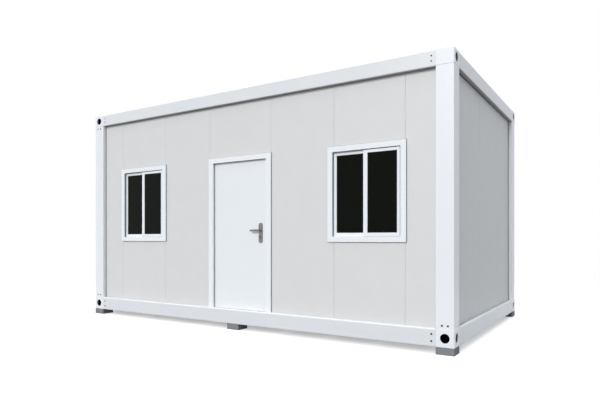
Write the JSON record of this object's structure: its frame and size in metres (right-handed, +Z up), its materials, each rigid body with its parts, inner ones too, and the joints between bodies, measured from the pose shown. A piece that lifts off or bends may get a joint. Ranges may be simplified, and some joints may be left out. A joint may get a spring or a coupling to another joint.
{
  "type": "portable site cabin",
  "caption": "Flat-roofed portable site cabin: bolted steel frame with lifting corners, insulated wall panels, a hinged door with lever handle and sliding windows.",
  "frame": {"origin": "on the ground under the middle of the cabin, at the underside of the feet", "axes": "+X along the long front, to the right as seen from outside; +Y from the front to the back; +Z up"},
  "size_m": [5.62, 3.24, 3.075],
  "materials": {
    "frame_white": "gloss white paint on folded steel",
    "panel_white": "grey-white coated steel skin",
    "foot_concrete": "plain grey concrete",
    "joist_steel": "galvanised steel",
    "deck_board": "grey sheet on cement-bonded board",
    "ceiling_white": "matt white coated steel",
    "roof_steel": "coated ribbed steel",
    "door_white": "white painted steel",
    "threshold_metal": "mill finish",
    "window_white": "white extruded plastic",
    "window_glass": "dark tinted double glazing",
    "handle_steel": "satin",
    "hinge_steel": "satin",
    "lock_metal": "satin"
  },
  "bodies": {
    "cabin": {"back_left_post": "frame_white", "back_right_post": "frame_white", "back_wall_panels": "panel_white", "bottom_back_beam": "frame_white", "bottom_corner_fittings": "frame_white", "bottom_front_beam": "frame_white", "bottom_left_beam": "frame_white", "bottom_right_beam": "frame_white", "ceiling": "ceiling_white", "door_head": "door_white", "door_hinge_pins": "hinge_steel", "door_left_jamb": "door_white", "door_right_jamb": "door_white", "door_threshold": "threshold_metal", "floor_deck": "deck_board", "floor_joists": "joist_steel", "front_left_end_panel": "panel_white", "front_left_plain_panel": "panel_white", "front_left_post": "frame_white", "front_right_end_panel": "panel_white", "front_right_plain_panel": "panel_white", "front_right_post": "frame_white", "left_wall_panels": "panel_white", "left_window_frame": "window_white", "left_window_glass": "window_glass", "left_window_panels": "panel_white", "left_window_sashes": "window_white", "over_door_panel": "panel_white", "right_wall_panels": "panel_white", "right_window_frame": "window_white", "right_window_glass": "window_glass", "right_window_panels": "panel_white", "right_window_sashes": "window_white", "roof_ridge_cap": "roof_steel", "roof_sheet": "roof_steel", "support_feet": "foot_concrete", "top_back_beam": "frame_white", "top_corner_fittings": "frame_white", "top_front_beam": "frame_white", "top_left_beam": "frame_white", "top_right_beam": "frame_white"},
    "door": {"door_leaf": "door_white", "door_hinge_sleeves": "hinge_steel", "door_handle_plates": "handle_steel", "door_lock_cylinder": "lock_metal"},
    "lever": {"door_levers": "handle_steel"}
  },
  "joints": [
    {"name": "door_swing", "type": "hinge", "parent": "cabin", "child": "door", "pos_m": [-0.4055, -1.485, 1.2185], "axis": [0, 0, 1], "range_deg": [0, 110]},
    {"name": "lever_press", "type": "hinge", "parent": "door", "child": "lever", "pos_m": [0.369, -1.519, 1.271], "axis": [0, -1, 0], "range_deg": [0, 40], "stiffness_Nm_per_rad": 1.2, "springref_deg": -17.19}
  ]
}
